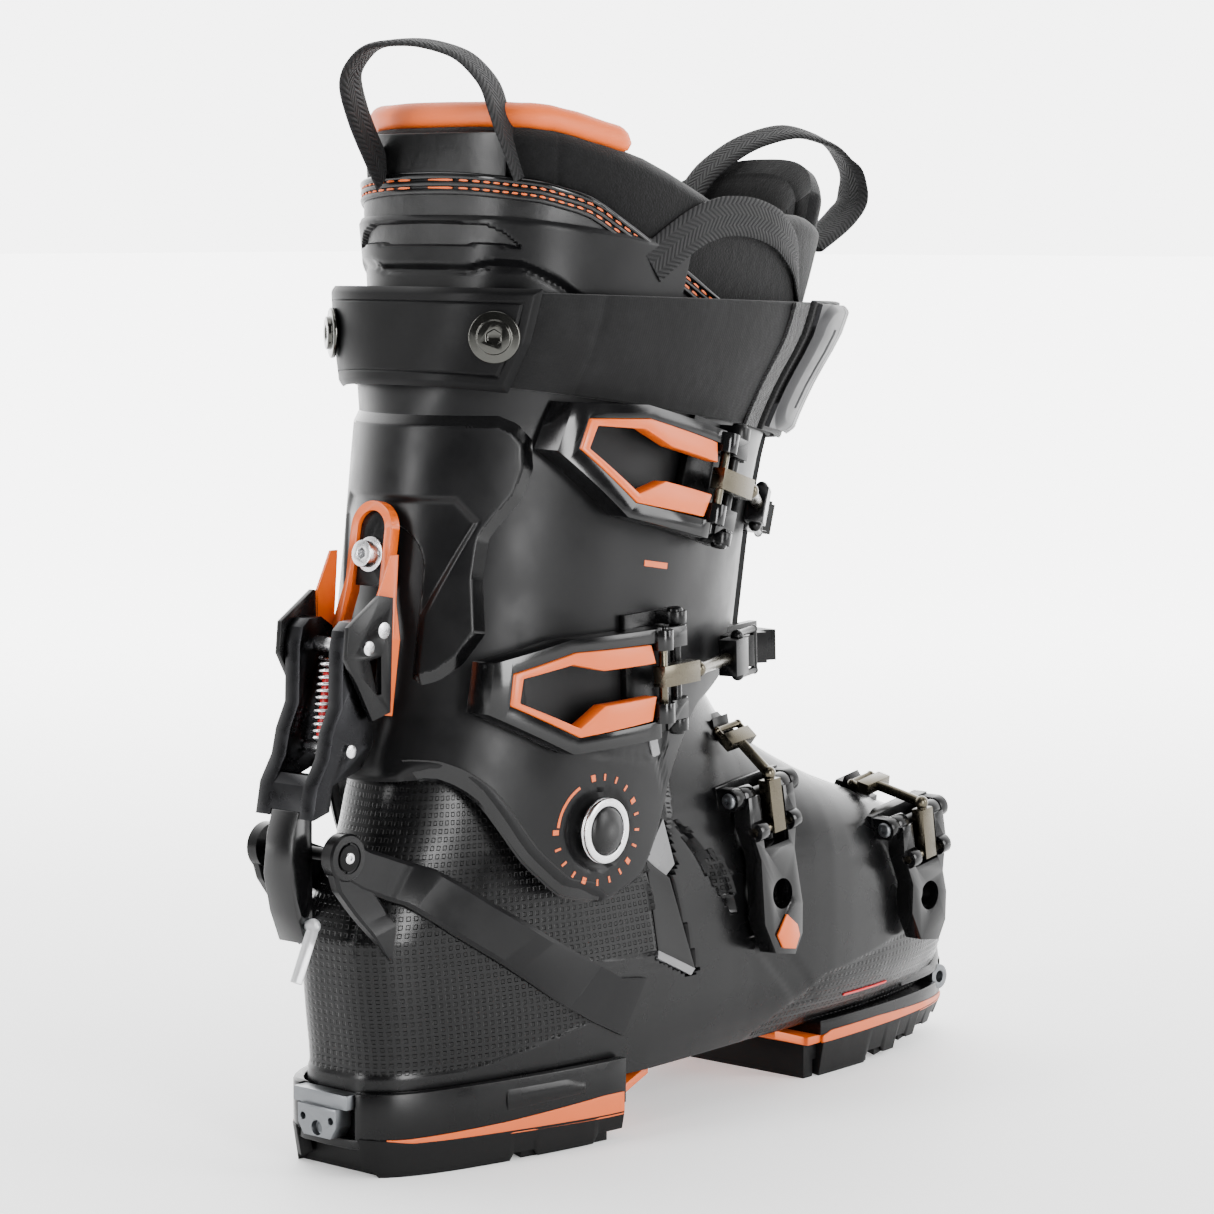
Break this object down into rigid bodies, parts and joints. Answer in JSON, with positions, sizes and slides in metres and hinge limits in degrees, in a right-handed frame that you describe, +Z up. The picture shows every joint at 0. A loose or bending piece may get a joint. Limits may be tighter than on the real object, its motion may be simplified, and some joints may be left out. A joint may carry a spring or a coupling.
{
  "type": "alpine ski boot",
  "caption": "Stiff hinged ski boot for the right foot with a padded liner, buckles, power strap, walk-mode heel lever and binding soles with pin sockets.",
  "frame": {"origin": "centre of the heel tread's contact face on the ground, 40 mm ahead of the sole's rear end", "axes": "+X toward the toe, +Y toward the inner side of the foot, +Z up"},
  "size_m": [0.3262, 0.1324, 0.3571],
  "materials": {
    "shell_black": "satin",
    "cuff_black": "satin",
    "trim_black": "gloss",
    "trim_orange": "satin",
    "rubber_black": "matte",
    "steel": "satin",
    "dark_steel": "satin",
    "bronze_alloy": "satin",
    "black_alloy": "anodised",
    "liner_fabric": "felted",
    "collar_fabric": "smooth",
    "webbing": "woven",
    "board_plastic": "matte",
    "tab_grey": "matte",
    "cord_grey": "satin"
  },
  "bodies": {
    "shell": {"lower_shell": "shell_black", "heel_block": "trim_black", "heel_sole_carrier": "trim_orange", "heel_tread": "rubber_black", "toe_block": "trim_black", "toe_sole_carrier": "trim_orange", "toe_tread": "rubber_black", "arch_pad": "rubber_black", "heel_tech_insert": "steel", "toe_tech_inserts": "steel", "sole_screws": "steel", "heel_brace": "dark_steel", "lock_bar": "steel", "pivot_pins": "trim_black", "pivot_rings": "steel", "pivot_caps": "trim_black", "forefoot_buckle_bases": "trim_black", "forefoot_catches": "trim_black", "liner_foot": "liner_fabric", "boot_board": "board_plastic", "insole": "liner_fabric"},
    "cuff": {"cuff_shell": "cuff_black", "backbone": "cuff_black", "spoiler": "board_plastic", "strap_plate": "rubber_black", "strap_rivets": "dark_steel", "power_strap": "webbing", "strap_velcro": "webbing", "strap_end_tab": "tab_grey", "cuff_buckle_bases": "trim_black", "cuff_catches": "trim_black", "liner_cuff": "liner_fabric", "tongue": "liner_fabric", "collar_roll": "collar_fabric", "rear_pull_loop": "webbing", "front_pull_loops": "webbing", "walk_bracket": "trim_orange", "bracket_bolt": "dark_steel", "walk_side_plates": "trim_black"},
    "walk_lever": {"lever_arms": "black_alloy", "lever_claw": "black_alloy", "lever_pins": "steel", "lever_spring": "steel", "pull_tab": "cord_grey"},
    "upper_lever": {"upper_lever": "black_alloy", "upper_insert": "trim_orange"},
    "upper_bail": {"upper_bail": "bronze_alloy", "upper_hook": "bronze_alloy"},
    "lower_lever": {"lower_lever": "black_alloy", "lower_insert": "trim_orange"},
    "lower_bail": {"lower_bail": "bronze_alloy", "lower_hook": "bronze_alloy"},
    "instep_lever": {"instep_lever": "black_alloy", "instep_badge": "trim_orange"},
    "instep_bail": {"instep_bail": "bronze_alloy"},
    "toe_lever": {"toe_lever": "black_alloy"},
    "toe_bail": {"toe_bail": "bronze_alloy"}
  },
  "joints": [
    {"name": "cuff_flex", "type": "hinge", "parent": "shell", "child": "cuff", "pos_m": [0.035, 0, 0.106], "axis": [0, 1, 0], "range_deg": [-12, 8]},
    {"name": "walk_lever", "type": "hinge", "parent": "cuff", "child": "walk_lever", "pos_m": [-0.0345, 0, 0.168], "axis": [0, 1, 0], "range_deg": [0, 40]},
    {"name": "upper_lever_swing", "type": "hinge", "parent": "cuff", "child": "upper_lever", "pos_m": [0.088, -0.0602, 0.214], "axis": [0.2756, 0, 0.9613], "range_deg": [0, 130]},
    {"name": "upper_bail_swing", "type": "hinge", "parent": "upper_lever", "child": "upper_bail", "pos_m": [0.07689, -0.06583, 0.21718], "axis": [0.2756, 0, 0.9613], "range_deg": [-143, 0]},
    {"name": "lower_lever_swing", "type": "hinge", "parent": "cuff", "child": "lower_lever", "pos_m": [0.064, -0.0578, 0.1555], "axis": [-0.0349, 0, 0.9994], "range_deg": [0, 130]},
    {"name": "lower_bail_swing", "type": "hinge", "parent": "lower_lever", "child": "lower_bail", "pos_m": [0.05209, -0.06261, 0.15508], "axis": [-0.0349, 0, 0.9994], "range_deg": [-143, 0]},
    {"name": "instep_lever_swing", "type": "hinge", "parent": "shell", "child": "instep_lever", "pos_m": [0.119, -0.0488, 0.109], "axis": [-0.9925, 0, -0.1219], "range_deg": [0, 78]},
    {"name": "instep_bail_swing", "type": "hinge", "parent": "instep_lever", "child": "instep_bail", "pos_m": [0.12043, -0.05402, 0.09734], "axis": [-0.9925, 0, -0.1219], "range_deg": [-140.4, 0]},
    {"name": "toe_lever_swing", "type": "hinge", "parent": "shell", "child": "toe_lever", "pos_m": [0.205, -0.0494, 0.089], "axis": [-0.9877, 0, -0.1564], "range_deg": [0, 130]},
    {"name": "toe_bail_swing", "type": "hinge", "parent": "toe_lever", "child": "toe_bail", "pos_m": [0.20688, -0.054, 0.07715], "axis": [-0.9877, 0, -0.1564], "range_deg": [-143, 0]}
  ],
  "couplings": [
    {"joint": "upper_bail_swing", "follows": "upper_lever_swing", "ratio": -1.1},
    {"joint": "lower_bail_swing", "follows": "lower_lever_swing", "ratio": -1.1},
    {"joint": "instep_bail_swing", "follows": "instep_lever_swing", "ratio": -1.8},
    {"joint": "toe_bail_swing", "follows": "toe_lever_swing", "ratio": -1.1}
  ]
}
